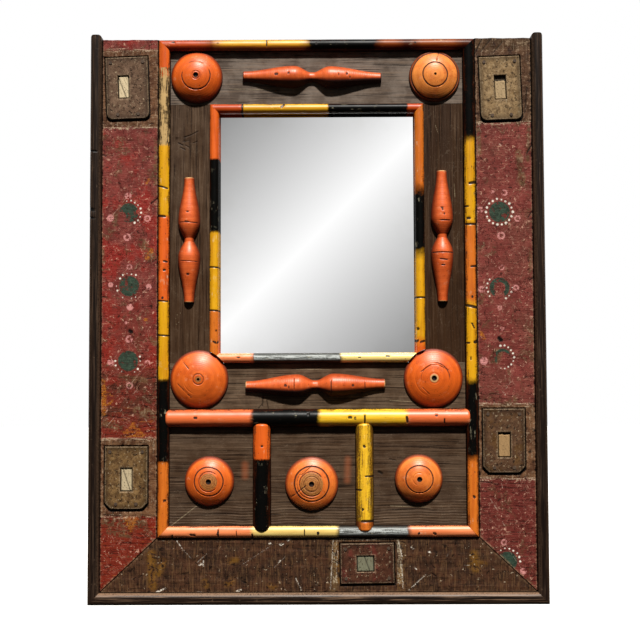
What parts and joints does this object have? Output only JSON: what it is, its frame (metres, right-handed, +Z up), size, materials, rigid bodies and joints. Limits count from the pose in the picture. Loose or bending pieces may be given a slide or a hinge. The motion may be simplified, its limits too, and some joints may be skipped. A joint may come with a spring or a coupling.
{
  "type": "wall mirror",
  "caption": "Rustic wall mirror framed in painted boards, with lacquered half-round rods and beads, turned bosses, split spindles and ring hangers behind.",
  "frame": {"origin": "on the wall plane, in the middle of the upper batten's back, level with the ring hangers", "axes": "+X to the viewer's right, +Y out of the back into the wall, +Z up"},
  "size_m": [0.61, 0.0519, 0.762],
  "materials": {
    "dark_moulding": "dark brown stain, worn",
    "red_board": "dull red paint, worn through to brown wood",
    "brown_board": "dark brown paint, scuffed",
    "dark_panel": "dark weathered wood",
    "banded_lacquer": "glossy lacquer in orange, yellow and black bands",
    "rod_lacquer": "glossy lacquer in orange, black and yellow bands",
    "boss_lacquer": "glossy orange lacquer",
    "spindle_lacquer": "glossy orange lacquer",
    "worn_plate": "grey-brown worn paint",
    "tenon_wood": "bare end grain",
    "mirror": "silvered glass",
    "backing_ply": "thin board",
    "raw_batten": "raw pine",
    "dark_iron": "darkened iron",
    "zinc_steel": "zinc plated"
  },
  "bodies": {
    "frame": {"backing_board": "backing_ply", "batten_bottom": "raw_batten", "batten_left": "raw_batten", "batten_right": "raw_batten", "batten_screws": "zinc_steel", "batten_top": "raw_batten", "bay_boss_left": "boss_lacquer", "bay_boss_middle": "boss_lacquer", "bay_boss_right": "boss_lacquer", "boss_low_left": "boss_lacquer", "boss_low_right": "boss_lacquer", "boss_screws": "dark_iron", "boss_top_left": "boss_lacquer", "boss_top_right": "boss_lacquer", "bottom_board": "brown_board", "bottom_moulding": "dark_moulding", "cross_rod": "rod_lacquer", "dowels": "raw_batten", "edge_bead_bottom": "banded_lacquer", "edge_bead_left": "banded_lacquer", "edge_bead_right": "banded_lacquer", "edge_bead_top": "banded_lacquer", "hanger_strap_left": "zinc_steel", "hanger_strap_right": "zinc_steel", "hardware_screws": "zinc_steel", "left_board": "red_board", "left_moulding": "dark_moulding", "left_post_rod": "rod_lacquer", "left_stile": "dark_panel", "lower_panel": "dark_panel", "middle_rail": "dark_panel", "mirror_bead_bottom": "banded_lacquer", "mirror_bead_left": "banded_lacquer", "mirror_bead_right": "banded_lacquer", "mirror_bead_top": "banded_lacquer", "mirror_glass": "mirror", "panel_pins": "dark_iron", "plate_bottom": "worn_plate", "plate_low_left": "worn_plate", "plate_low_right": "worn_plate", "plate_nails": "dark_iron", "plate_top_left": "worn_plate", "plate_top_right": "worn_plate", "right_board": "red_board", "right_moulding": "dark_moulding", "right_post_rod": "rod_lacquer", "right_stile": "dark_panel", "slot_tenons": "tenon_wood", "spindle_bottom": "spindle_lacquer", "spindle_left": "spindle_lacquer", "spindle_right": "spindle_lacquer", "spindle_top": "spindle_lacquer", "top_rail": "dark_panel"},
    "ring_left": {"hanger_ring_left": "zinc_steel"},
    "ring_right": {"hanger_ring_right": "zinc_steel"},
    "button_upper_left": {"turn_button_upper_left": "zinc_steel"},
    "button_upper_right": {"turn_button_upper_right": "zinc_steel"},
    "button_lower_left": {"turn_button_lower_left": "zinc_steel"},
    "button_lower_right": {"turn_button_lower_right": "zinc_steel"}
  },
  "joints": [
    {"name": "ring_left_swing", "type": "hinge", "parent": "frame", "child": "ring_left", "pos_m": [-0.26675, -0.0132, -0.006], "axis": [-1, 0, 0], "range_deg": [0, 180]},
    {"name": "ring_right_swing", "type": "hinge", "parent": "frame", "child": "ring_right", "pos_m": [0.26675, -0.0132, -0.006], "axis": [-1, 0, 0], "range_deg": [0, 180]},
    {"name": "button_upper_left_turn", "type": "hinge", "parent": "frame", "child": "button_upper_left", "pos_m": [-0.155, -0.0149, -0.107], "axis": [0, 1, 0], "continuous": true},
    {"name": "button_upper_right_turn", "type": "hinge", "parent": "frame", "child": "button_upper_right", "pos_m": [0.155, -0.0149, -0.107], "axis": [0, 1, 0], "continuous": true},
    {"name": "button_lower_left_turn", "type": "hinge", "parent": "frame", "child": "button_lower_left", "pos_m": [-0.155, -0.0149, -0.3165], "axis": [0, 1, 0], "continuous": true},
    {"name": "button_lower_right_turn", "type": "hinge", "parent": "frame", "child": "button_lower_right", "pos_m": [0.155, -0.0149, -0.3165], "axis": [0, 1, 0], "continuous": true}
  ]
}
